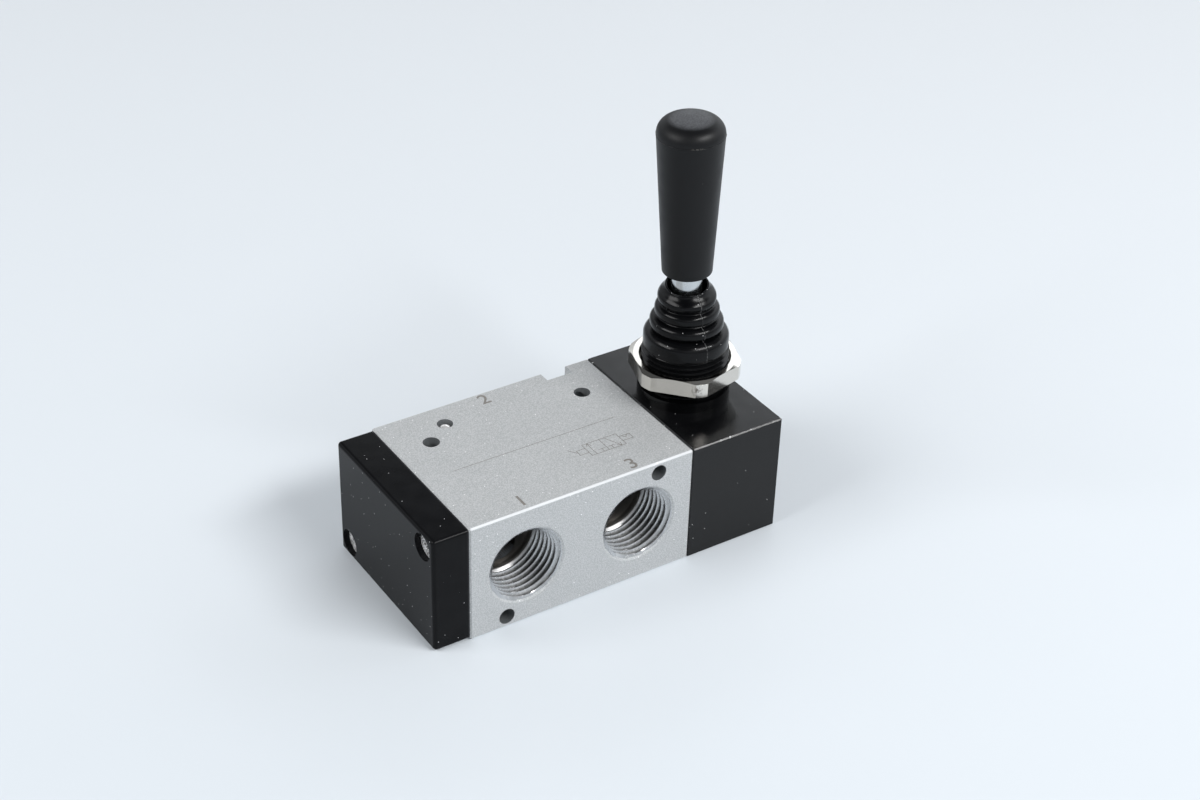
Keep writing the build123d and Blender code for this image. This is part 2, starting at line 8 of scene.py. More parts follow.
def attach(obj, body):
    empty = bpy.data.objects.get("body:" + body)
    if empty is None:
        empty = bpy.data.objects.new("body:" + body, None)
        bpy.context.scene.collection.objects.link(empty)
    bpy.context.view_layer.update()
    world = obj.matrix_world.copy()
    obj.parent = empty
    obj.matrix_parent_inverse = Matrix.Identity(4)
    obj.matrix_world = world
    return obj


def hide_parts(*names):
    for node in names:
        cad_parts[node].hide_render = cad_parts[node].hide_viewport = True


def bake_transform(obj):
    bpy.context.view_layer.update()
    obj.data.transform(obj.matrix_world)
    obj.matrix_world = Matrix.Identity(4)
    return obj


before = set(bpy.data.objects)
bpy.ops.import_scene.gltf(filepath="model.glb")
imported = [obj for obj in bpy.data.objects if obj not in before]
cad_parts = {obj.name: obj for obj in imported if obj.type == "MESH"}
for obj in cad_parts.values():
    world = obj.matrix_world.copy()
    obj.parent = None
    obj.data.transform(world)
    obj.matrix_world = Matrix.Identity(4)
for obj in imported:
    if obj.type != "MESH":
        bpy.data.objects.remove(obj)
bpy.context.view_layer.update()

# Hand lever air valve. X runs from the end cap to the lever block, Y from the
# front ports to the rear port and Z up. Sizes are in metres; MM turns millimetres into them.
MM = 0.001

# Blocks, along X
cap_face = -51.8238 * MM
body_start = -41.8238 * MM
body_end = 23.1762 * MM
block_end = 51.1762 * MM
half_depth = 25.0 * MM
body_height = 34.0 * MM

# Body: a band just wider than its broken edges, the notch in its rear edge, and how far the
# spool's chambers and the ports' windows reach
edge_band = 0.45 * MM
notch_x = 12.2762 * MM
notch_half_width = 4.0 * MM
notch_floor = 21.1 * MM
chamber_reach = 11.2 * MM
port_window_reach = 12.4 * MM

# Ports: place along X, and the side of the body that each opens to
port_height = 17.0 * MM
ports = ((-25.8238 * MM, -1), (-9.3238 * MM, 1), (7.1762 * MM, -1))
port_mouth_radius = 11.0 * MM
port_wall_radius = 9.32 * MM
port_depth = 14.5 * MM
port_thread_pitch = 1.814 * MM
port_thread_depth = 1.16 * MM
port_thread_run_out = 3.6 * MM
port_mouth_slope = 1.7
port_mouth_band = 0.33 * MM

# Lever block collar
lever_x = 37.1762 * MM
collar_foot_top = 36.9 * MM
collar_top = 48.2 * MM
collar_radius = 11.42 * MM
collar_bore_radius = 9.6 * MM
collar_end_radius = 10.87 * MM
collar_thread_pitch = 1.5 * MM
collar_thread_depth = 0.86 * MM

# Marks on the top: numerals as (text, x, y), the rule line and the circuit symbol
numerals = (("1", -25.3 * MM, -21.3 * MM), ("2", -10.6 * MM, 21.7 * MM), ("3", 6.5 * MM, -21.9 * MM))
numeral_height = 4.2 * MM
rule_line = ((-33.3 * MM, -2.04 * MM), (14.2 * MM, -2.2 * MM))
rule_width = 0.15 * MM
symbol_corner = (0.0, -13.9 * MM)
symbol_square = 5.1 * MM
symbol_width = 0.17 * MM
mark_rise = 0.012 * MM

# Nut: the corner nearest the camera, and the width of its broken edges
nut_front_corner = (31.65 * MM, -13.68 * MM, 42.6 * MM)
nut_edge_break = 0.07 * MM

# Boot: its mould seam, and how its upper part leans with the lever and its lip tilts
boot_seam = radians(-95.625)
boot_bend_start = 53 * MM
boot_bend_reach = 13 * MM
boot_lean = radians(-1.3)
boot_drop = radians(0.8)
boot_seam_lean = 0.0436
boot_lip_start = 62 * MM
boot_lip_reach = 4 * MM
boot_lip_tilt = 0.14

# Lever and grip
pivot_height = 41.0 * MM
lever_lean = radians(-1.6)
lever_up = Vector((sin(lever_lean), 0, cos(lever_lean)))
grip_start = 29.261 * MM
grip_top = 71.878 * MM
grip_flash_drop = 4.2 * MM

# Lamps: name, place, width, height and watts, all aimed at one point
lamp_aim = (0, 0, 30 * MM)
lamps = (("key", (0.34, -0.79, 0.86), 0.75, 0.25, 11.5), ("fill", (-0.92, 0.14, 0.78), 0.8, 0.5, 8.5))

# Surround: strength by height, from level (0) to straight up (1)
surround = ((0.0, 0.8), (0.3, 1.1), (0.5, 1.7), (0.55, 1.5), (0.578, 0.12))

# Level headings, as the camera sees them
heading_away = (0.556, 0.831, 0)
heading_right = (0.831, -0.556, 0)

# Camera, fitted to the photograph
camera_place = (-0.242441, -0.378776, 0.340988)
camera_azimuth = radians(-33.791)
camera_elevation = radians(33.529)
camera_roll = radians(1.772)
camera_lens = 64.03
camera_sensor = 36


# Node helpers

def add(tree, kind, inputs=None, **settings):
    """A new node with its settings and unlinked input values."""
    made = tree.nodes.new(kind)
    for name, value in settings.items():
        setattr(made, name, value)
    for name, value in (inputs or {}).items():
        made.inputs[name].default_value = value
    return made


def join(tree, source, target):
    """Links one socket to another."""
    tree.links.new(source, target)


def calc(tree, operation, first, second=None, third=None):
    """A Math node; each value is a number or a socket."""
    made = add(tree, "ShaderNodeMath", operation=operation)
    for place, value in enumerate((first, second, third)):
        if value is None:
            continue
        if isinstance(value, (int, float)):
            made.inputs[place].default_value = value
        else:
            join(tree, value, made.inputs[place])
    return made.outputs[0]


def spread(tree, value, low, high, to_low=0.0, to_high=1.0, smooth=True):
    """Maps value from low..high to to_low..to_high, clamped."""
    made = add(tree, "ShaderNodeMapRange", clamp=True)
    made.interpolation_type = "SMOOTHSTEP" if smooth else "LINEAR"
    join(tree, value, made.inputs["Value"])
    limits = {"From Min": low, "From Max": high, "To Min": to_low, "To Max": to_high}
    for name, number in limits.items():
        if isinstance(number, (int, float)):
            made.inputs[name].default_value = number
        else:
            join(tree, number, made.inputs[name])
    return made.outputs["Result"]


# Material helpers

def finish_of(name, colour, roughness, metallic=0.0, **sockets):
    """A node material with a Principled shader, and its Object coordinates."""
    material = bpy.data.materials.new(name)
    material.use_nodes = True
    tree = material.node_tree
    shader = tree.nodes["Principled BSDF"]
    shader.inputs["Base Color"].default_value = (*colour, 1)
    shader.inputs["Roughness"].default_value = roughness
    shader.inputs["Metallic"].default_value = metallic
    for socket, value in sockets.items():
        shader.inputs[socket.replace("_", " ")].default_value = value
    material.diffuse_color = (*colour, 1)
    place = add(tree, "ShaderNodeTexCoord").outputs["Object"]
    return material, tree, shader, place


def grain(tree, place, size, detail=2.0, stretch=None, roughness=0.5):
    """Noise whose features are about size metres across."""
    if stretch:
        mapping = add(tree, "ShaderNodeMapping", {"Scale": stretch})
        join(tree, place, mapping.inputs["Vector"])
        place = mapping.outputs["Vector"]
    made = add(tree, "ShaderNodeTexNoise", {"Scale": 1 / size, "Detail": detail, "Roughness": roughness})
    join(tree, place, made.inputs["Vector"])
    return made.outputs["Fac"]


def tint(tree, shader, amount, under, over):
    """Lays a colour over another by amount, as the shader's colour. Under is a colour or a socket."""
    mix = add(tree, "ShaderNodeMix", data_type="RGBA")
    join(tree, amount, mix.inputs[0])
    if isinstance(under, tuple):
        mix.inputs[6].default_value = (*under, 1)
    else:
        join(tree, under, mix.inputs[6])
    mix.inputs[7].default_value = (*over, 1)
    join(tree, mix.outputs[2], shader.inputs["Base Color"])
    return mix.outputs[2]


def vary_gloss(tree, shader, pattern, low, high):
    """Roughness from low to high by a noise pattern."""
    join(tree, spread(tree, pattern, 0.3, 0.7, low, high), shader.inputs["Roughness"])


def relief(tree, shader, height, depth):
    """Bumps of that depth in metres, from a height socket."""
    bump = add(tree, "ShaderNodeBump", {"Strength": 1.0, "Distance": depth})
    join(tree, height, bump.inputs["Height"])
    join(tree, bump.outputs["Normal"], shader.inputs["Normal"])


def plain_finish(name, colour, roughness, metallic, pattern, dark, light, gloss=None, **sockets):
    """A finish that one noise pattern varies from dark to light, and in gloss."""
    material, tree, shader, place = finish_of(name, colour, roughness, metallic, **sockets)
    marks = grain(tree, place, *pattern)
    tint(tree, shader, marks, dark, light)
    if gloss:
        vary_gloss(tree, shader, marks, *gloss)
    return material


def rim_closeness(tree, place, low, high):
    """Distance from the nearest edge of the box low..high, measured over its faces."""
    split = add(tree, "ShaderNodeSeparateXYZ")
    join(tree, place, split.inputs[0])
    gaps = []
    for axis in range(3):
        middle = (low[axis] + high[axis]) / 2
        half = (high[axis] - low[axis]) / 2
        off = calc(tree, "ABSOLUTE", calc(tree, "SUBTRACT", split.outputs[axis], middle))
        gaps.append(calc(tree, "MAXIMUM", calc(tree, "SUBTRACT", half, off), 0.0))
    sums = [calc(tree, "ADD", gaps[a], gaps[b]) for a, b in ((0, 1), (1, 2), (0, 2))]
    return calc(tree, "MINIMUM", calc(tree, "MINIMUM", sums[0], sums[1]), sums[2])


def specks(tree, place, spacing, radius, share):
    """Mask of small round specks, about spacing apart, on a share of the places."""
    made = add(tree, "ShaderNodeTexVoronoi", {"Scale": 1 / spacing, "Randomness": 1.0})
    join(tree, place, made.inputs["Vector"])
    near = calc(tree, "LESS_THAN", made.outputs["Distance"], radius / spacing)
    split = add(tree, "ShaderNodeSeparateColor")
    join(tree, made.outputs["Color"], split.inputs[0])
    return calc(tree, "MULTIPLY", near, calc(tree, "LESS_THAN", split.outputs[0], share))


def closeness(tree, place, point, reach):
    """1 at point, falling to 0 at reach from it."""
    off = add(tree, "ShaderNodeVectorMath", {1: point}, operation="DISTANCE")
    join(tree, place, off.inputs[0])
    return spread(tree, off.outputs["Value"], 0.0, reach, 1.0, 0.0)


# Finishes

def blasted_aluminium():
    """Fine blasted and clear anodised aluminium, with a painted highlight on its long broken edges and
    painted glints.
    """
    material, tree, shader, place = finish_of("blasted_aluminium", (0.46, 0.47, 0.475), 0.65, 0.3)
    speck = grain(tree, place, 0.32 * MM, 1.0)
    cloud = grain(tree, place, 9 * MM, 3.0)
    toned = calc(tree, "ADD", calc(tree, "MULTIPLY", spread(tree, speck, 0.36, 0.64), 0.8),
                 calc(tree, "MULTIPLY", cloud, 0.2))
    base = tint(tree, shader, toned, (0.375, 0.388, 0.393), (0.535, 0.544, 0.55))
    edge = rim_closeness(tree, place, (2 * body_start, -half_depth, 0),
                         (-2 * body_start, half_depth, body_height))
    # Painted highlight: a lighter band along the body's broken edges.
    painted_highlight = tint(tree, shader, spread(tree, edge, 0.42 * MM, 0.62 * MM, 1.0, 0.0), base,
                  (0.6, 0.613, 0.622))
    # Painted glints: small near-white specks over the surface.
    tint(tree, shader, specks(tree, place, 1.5 * MM, 0.13 * MM, 0.5), painted_highlight, (0.95, 0.95, 0.95))
    vary_gloss(tree, shader, cloud, 0.62, 0.68)
    relief(tree, shader, grain(tree, place, 0.16 * MM, 1.0), 0.012 * MM)
    return material


def port_painted_shade(tree, place):
    """Mask of painted shade: 1 in the roots of the port threads and deep behind them, 0 on their crests
    and mouths.
    """
    split = add(tree, "ShaderNodeSeparateXYZ")
    join(tree, place, split.inputs[0])
    off = [calc(tree, "ABSOLUTE", calc(tree, "SUBTRACT", split.outputs[0], x)) for x, side in ports]
    in_front = calc(tree, "LESS_THAN", split.outputs[1], 0.0)
    front_gain = calc(tree, "SUBTRACT", calc(tree, "MINIMUM", off[0], off[2]), off[1])
    across = calc(tree, "MULTIPLY_ADD", front_gain, in_front, off[1])
    up = calc(tree, "SUBTRACT", split.outputs[2], port_height)
    squares = calc(tree, "MULTIPLY_ADD", across, across, calc(tree, "MULTIPLY", up, up))
    radius = calc(tree, "SQRT", squares)
    depth = calc(tree, "SUBTRACT", half_depth, calc(tree, "ABSOLUTE", split.outputs[1]))
    in_root = spread(tree, radius, port_wall_radius + 0.1 * MM, port_wall_radius + 0.9 * MM)
    root = calc(tree, "MULTIPLY", in_root, spread(tree, depth, 0.7 * MM, 1.6 * MM, 0.0, 0.55))
    return calc(tree, "MAXIMUM", root, spread(tree, depth, 11.0 * MM, 14.0 * MM))


def cut_aluminium():
    """Bare metal that a tap has left bright, with painted shade in the thread roots and deep inside."""
    material, tree, shader, place = finish_of("cut_aluminium", (0.5, 0.51, 0.52), 0.26, 1.0)
    marks = grain(tree, place, 0.9 * MM, 2.0)
    base = tint(tree, shader, marks, (0.47, 0.48, 0.49), (0.58, 0.59, 0.6))
    painted_shade = port_painted_shade(tree, place)
    # Painted shade: dark colour in the thread roots and deep in the ports.
    tint(tree, shader, painted_shade, base, (0.17, 0.163, 0.154))
    rough = calc(tree, "MULTIPLY_ADD", painted_shade, 0.16, spread(tree, marks, 0.3, 0.7, 0.2, 0.28))
    join(tree, rough, shader.inputs["Roughness"])
    return material


def drilled_aluminium():
    """Anodised walls of the holes, dull, and painted dark as painted shade inside the holes."""
    return plain_finish("drilled_aluminium", (0.17, 0.18, 0.187), 0.4, 0.4, (0.5 * MM, 2.0, (1, 1, 0.3)),
                        (0.14, 0.15, 0.156), (0.21, 0.222, 0.23), (0.34, 0.46))


def black_coat():
    """Glossy black coating, chipped through to metal along the block's edges, with a painted highlight
    in a soft band along them.
    """
    material, tree, shader, place = finish_of("black_coat", (0.0022, 0.0023, 0.0027), 0.2, 0.0,
                                              Specular_IOR_Level=0.28)
    edge = rim_closeness(tree, place, (body_end, -half_depth, 0), (block_end, half_depth, body_height))
    chips = grain(tree, place, 1.1 * MM, 4.0, roughness=0.65)
    # Chips where the coat is chipped through to metal.
    pale_mask = calc(tree, "LESS_THAN", edge, spread(tree, chips, 0.53, 0.75, 0.0, 0.5 * MM))
    # Painted highlight: a soft pale band fading out from every edge.
    painted_highlight = spread(tree, edge, 0.08 * MM, 0.4 * MM, spread(tree, chips, 0.3, 0.6, 0.05, 0.35), 0.0)
    pale_mask = calc(tree, "MAXIMUM", pale_mask, painted_highlight)
    pale_mask = calc(tree, "MAXIMUM", pale_mask, specks(tree, place, 2.0 * MM, 0.11 * MM, 0.4))
    cloud = grain(tree, place, 6 * MM, 3.0)
    base = tint(tree, shader, cloud, (0.0018, 0.0019, 0.0022), (0.004, 0.0042, 0.0048))
    # Chips, dust specks and the painted highlight share the pale colour.
    tint(tree, shader, pale_mask, base, (0.55, 0.55, 0.55))
    vary_gloss(tree, shader, cloud, 0.15, 0.25)
    relief(tree, shader, grain(tree, place, 0.5 * MM, 2.0), 0.004 * MM)
    return material


def black_collar():
    """The same coating on the collar and its thread."""
    return plain_finish("black_collar", (0.002, 0.0021, 0.0025), 0.14, 0.0, (2 * MM, 3.0),
                        (0.0012, 0.0013, 0.0015), (0.0025, 0.0026, 0.003), (0.1, 0.18),
                        Specular_IOR_Level=0.2)


def satin_black():
    """Moulded end cap: satin black, with a painted highlight along its edges and a little dust."""
    material, tree, shader, place = finish_of("satin_black", (0.0025, 0.0026, 0.003), 0.14, 0.0,
                                              Specular_IOR_Level=0.077)
    cloud = grain(tree, place, 5 * MM, 3.0)
    base = tint(tree, shader, cloud, (0.004, 0.0042, 0.0048), (0.0078, 0.0081, 0.009))
    edge = rim_closeness(tree, place, (cap_face, -half_depth, 0), (body_start, half_depth, body_height))
    # Painted highlight: a faint lighter band along every edge of the cap.
    painted_highlight = tint(tree, shader, spread(tree, edge, 0.1 * MM, 0.9 * MM, 1.0, 0.0), base,
                  (0.055, 0.056, 0.06))
    tint(tree, shader, specks(tree, place, 1.75 * MM, 0.11 * MM, 0.6), painted_highlight, (0.55, 0.55, 0.56))
    vary_gloss(tree, shader, cloud, 0.12, 0.16)
    relief(tree, shader, grain(tree, place, 0.35 * MM, 2.0), 0.004 * MM)
    return material


def nickel_plate():
    """Bright nickel, scuffed at the front corner and faintly elsewhere."""
    material, tree, shader, place = finish_of("nickel_plate", (0.68, 0.655, 0.61), 0.16, 1.0)
    cloud = grain(tree, place, 5 * MM, 3.0)
    scratches = grain(tree, place, 0.7 * MM, 5.0, stretch=(1, 1, 0.5), roughness=0.7)
    knocked = calc(tree, "MULTIPLY", closeness(tree, place, nut_front_corner, 2.4 * MM),
                   spread(tree, scratches, 0.52, 0.58))
    scuff = calc(tree, "MAXIMUM", knocked, spread(tree, scratches, 0.66, 0.74, 0.0, 0.5))
    base = tint(tree, shader, cloud, (0.64, 0.615, 0.57), (0.72, 0.695, 0.65))
    tint(tree, shader, scuff, base, (0.22, 0.2, 0.18))
    join(tree, spread(tree, scuff, 0.0, 1.0, 0.13, 0.4), shader.inputs["Roughness"])
    relief(tree, shader, scuff, 0.01 * MM)
    return material


def zinc_plate():
    """Bright zinc plating with a faint bluish mottle."""
    return plain_finish("zinc_plate", (0.74, 0.78, 0.81), 0.22, 1.0, (1.6 * MM, 2.0),
                        (0.5, 0.53, 0.55), (0.63, 0.65, 0.66), (0.18, 0.28))


def screw_zinc():
    """Bright plated screws, light down in their wells and mottled by wear."""
    material, tree, shader, place = finish_of("screw_zinc", (0.9, 0.91, 0.92), 0.35, 0.45)
    marks = grain(tree, place, 0.4 * MM, 3.0)
    tint(tree, shader, spread(tree, marks, 0.4, 0.56), (0.2, 0.2, 0.2), (1.0, 1.0, 1.0))
    vary_gloss(tree, shader, marks, 0.28, 0.42)
    return material


def polished_ball():
    """Ground and polished ball steel."""
    return plain_finish("polished_ball", (0.95, 0.94, 0.93), 0.16, 0.6, (0.5 * MM, 3.0),
                        (0.85, 0.84, 0.83), (1.0, 0.99, 0.98), (0.12, 0.2))


def bright_steel():
    """Turned steel."""
    return plain_finish("bright_steel", (0.66, 0.66, 0.66), 0.22, 1.0, (0.4 * MM, 3.0, (5, 1, 1)),
                        (0.56, 0.56, 0.57), (0.76, 0.76, 0.76), (0.15, 0.32))


def boot_rubber():
    """Glossy black rubber with specks of dust and a pale mould seam."""
    material, tree, shader, place = finish_of("boot_rubber", (0.0018, 0.0019, 0.0023), 0.2, 0.0,
                                              Specular_IOR_Level=0.17)
    bloom = grain(tree, place, 3 * MM, 4.0)
    dust = calc(tree, "MAXIMUM", specks(tree, place, 1.1 * MM, 0.1 * MM, 0.35),
                specks(tree, place, 3 * MM, 0.14 * MM, 0.4))
    split = add(tree, "ShaderNodeSeparateXYZ")
    join(tree, place, split.inputs[0])
    above = calc(tree, "MAXIMUM", calc(tree, "SUBTRACT", split.outputs[2], boot_bend_start), 0.0)
    off_lever = calc(tree, "SUBTRACT", split.outputs[0], lever_x)
    aside = calc(tree, "MULTIPLY_ADD", above, boot_seam_lean, off_lever)
    off_seam = calc(tree, "SUBTRACT", calc(tree, "MULTIPLY", aside, sin(boot_seam)),
                    calc(tree, "MULTIPLY", split.outputs[1], cos(boot_seam)))
    seam = calc(tree, "MULTIPLY", calc(tree, "LESS_THAN", calc(tree, "ABSOLUTE", off_seam), 0.11 * MM),
                calc(tree, "LESS_THAN", split.outputs[1], 0.0))
    patchy = spread(tree, grain(tree, place, 0.8 * MM, 2.0), 0.4, 0.6, 0.02, 0.13)
    seam = calc(tree, "MULTIPLY", seam, patchy)
    dust = calc(tree, "MAXIMUM", dust, seam)
    base = tint(tree, shader, bloom, (0.0012, 0.0013, 0.0016), (0.003, 0.0032, 0.0038))
    tint(tree, shader, dust, base, (0.5, 0.5, 0.5))
    vary_gloss(tree, shader, bloom, 0.15, 0.25)
    relief(tree, shader, bloom, 0.03 * MM)
    return material


def seal_rubber():
    """Black nitrile."""
    return plain_finish("seal_rubber", (0.015, 0.015, 0.015), 0.4, 0.0, (0.8 * MM, 3.0),
                        (0.01, 0.01, 0.01), (0.024, 0.024, 0.024), (0.3, 0.5))


def grip_plastic():
    """Moulded grip with a very fine matte texture, a crown painted paler as a painted reflection, and
    pale flecks on its flash line.
    """
    material, tree, shader, place = finish_of("grip_plastic", (0.004, 0.0042, 0.005), 0.44, 0.0,
                                              Specular_IOR_Level=0.22)
    cloud = grain(tree, place, 5 * MM, 3.0)
    flecks = grain(tree, place, 0.5 * MM, 3.0, stretch=(1, 1, 1.8))
    along = add(tree, "ShaderNodeVectorMath", {1: tuple(lever_up)}, operation="DOT_PRODUCT")
    join(tree, place, along.inputs[0])
    seam_height = pivot_height * lever_up.z + lever_x * lever_up.x + grip_top - grip_flash_drop
    off_seam = calc(tree, "ABSOLUTE", calc(tree, "SUBTRACT", along.outputs["Value"], seam_height))
    torn = calc(tree, "MULTIPLY", calc(tree, "LESS_THAN", off_seam, 0.16 * MM),
                spread(tree, flecks, 0.52, 0.56))
    torn = calc(tree, "MULTIPLY", torn, spread(tree, grain(tree, place, 6 * MM, 1.0), 0.46, 0.56))
    base = tint(tree, shader, cloud, (0.003, 0.0032, 0.0038), (0.005, 0.0053, 0.0062))
    dusty = calc(tree, "MAXIMUM", torn, specks(tree, place, 2.4 * MM, 0.08 * MM, 0.3))
    # Painted reflection: the crown above the flash line is painted paler, with a fine stipple.
    pale_mask = spread(tree, calc(tree, "SUBTRACT", along.outputs["Value"], seam_height), 3.7 * MM, 4.1 * MM)
    stipple = spread(tree, grain(tree, place, 0.35 * MM, 1.0), 0.3, 0.7, 0.5, 1.0)
    painted_crown_reflection = calc(tree, "MULTIPLY", pale_mask, stipple)
    painted_highlight = tint(tree, shader, painted_crown_reflection, base, (0.075, 0.078, 0.085))
    tint(tree, shader, dusty, painted_highlight, (0.12, 0.115, 0.105))
    vary_gloss(tree, shader, cloud, 0.4, 0.48)
    relief(tree, shader, grain(tree, place, 0.25 * MM, 2.0), 0.006 * MM)
    return material


def wear_plastic():
    """Natural acetal."""
    return plain_finish("wear_plastic", (0.78, 0.77, 0.72), 0.4, 0.0, (2 * MM, 3.0),
                        (0.7, 0.69, 0.64), (0.8, 0.79, 0.75))


def turned_aluminium():
    """Anodised spool with fine turning lines round its axis."""
    material, tree, shader, place = finish_of("turned_aluminium", (0.68, 0.69, 0.7), 0.3, 1.0)
    lines = grain(tree, place, 0.3 * MM, 2.0, stretch=(4, 0.3, 0.3))
    tint(tree, shader, lines, (0.58, 0.59, 0.6), (0.76, 0.77, 0.78))
    vary_gloss(tree, shader, lines, 0.22, 0.38)
    relief(tree, shader, lines, 0.006 * MM)
    return material


def turned_brass():
    """Turned brass."""
    return plain_finish("turned_brass", (0.75, 0.58, 0.3), 0.28, 1.0, (1.5 * MM, 3.0),
                        (0.66, 0.5, 0.24), (0.8, 0.63, 0.35))


def laser_mark():
    """Brownish grey laser marking, a little uneven."""
    return plain_finish("laser_mark", (0.2, 0.19, 0.175), 0.6, 0.2, (0.3 * MM, 3.0),
                        (0.14, 0.13, 0.12), (0.28, 0.265, 0.245))


def floor_paper():
    """Pale table top with the faintest smudges, and painted light that makes it a little lighter towards
    the back.
    """
    material, tree, shader, place = finish_of("floor_paper", (0.72, 0.77, 0.82), 0.6, 0.0)
    smudge = grain(tree, place, 90 * MM, 5.0)
    base = tint(tree, shader, smudge, (0.605, 0.65, 0.69), (0.635, 0.675, 0.715))
    away = add(tree, "ShaderNodeVectorMath", {1: (0.62, 0.78, 0)}, operation="DOT_PRODUCT")
    join(tree, place, away.inputs[0])
    # Painted light: lighter towards the back.
    tint(tree, shader, spread(tree, away.outputs["Value"], -0.15, 0.42, smooth=False), base,
         (0.8, 0.835, 0.87))
    return material


# Mesh helpers

def object_from(name, mesh, body, *materials):
    """A piece at the origin, with smooth faces that break at sharp edges."""
    mesh.name = name
    piece = bpy.data.objects.new(name, mesh)
    bpy.context.scene.collection.objects.link(piece)
    mesh.materials.clear()
    for material in materials:
        mesh.materials.append(material)
    mesh.shade_smooth()
    mesh.set_sharp_from_angle(angle=radians(32))
    if body:
        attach(piece, body)
    return piece


def merged_copy(node):
    """The CAD node's shape as a bmesh, its loose triangles joined."""
    shape = bmesh.new()
    shape.from_mesh(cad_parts[node].data)
    bmesh.ops.remove_doubles(shape, verts=shape.verts, dist=1e-7)
    return shape


def mesh_of(shape, name):
    """Turns a bmesh into a mesh whose faces point outwards."""
    bmesh.ops.recalc_face_normals(shape, faces=shape.faces)
    mesh = bpy.data.meshes.new(name)
    shape.to_mesh(mesh)
    shape.free()
    if "custom_normal" in mesh.attributes:
        mesh.attributes.remove(mesh.attributes["custom_normal"])
    return mesh


def frame_at(point, direction):
    """Matrix that puts local Z along direction at point."""
    turn = Vector(direction).to_track_quat("Z", "Y").to_matrix().to_4x4()
    return Matrix.Translation(point) @ turn


def turned(outline, place, segments, wobble):
    """Revolves a closed outline of (radius, height) about local Z.
    wobble(angle, height) adds to the radius."""
    shape = bmesh.new()
    rings = []
    for radius, height in outline:
        if radius < 1e-7:
            rings.append([shape.verts.new((0, 0, height))])
            continue
        ring = []
        for n in range(segments):
            angle = 2 * pi * n / segments
            r = radius + wobble(angle, height)
            ring.append(shape.verts.new((r * cos(angle), r * sin(angle), height)))
        rings.append(ring)
    for low, high in zip(rings, rings[1:] + rings[:1]):
        for n in range(segments):
            m = (n + 1) % segments
            if len(low) == 1 and len(high) == 1:
                continue
            if len(low) == 1:
                shape.faces.new((low[0], high[m], high[n]))
            elif len(high) == 1:
                shape.faces.new((low[n], low[m], high[0]))
            else:
                shape.faces.new((low[n], low[m], high[m], high[n]))
    shape.transform(place)
    return shape


# Threads, by Geometry Nodes

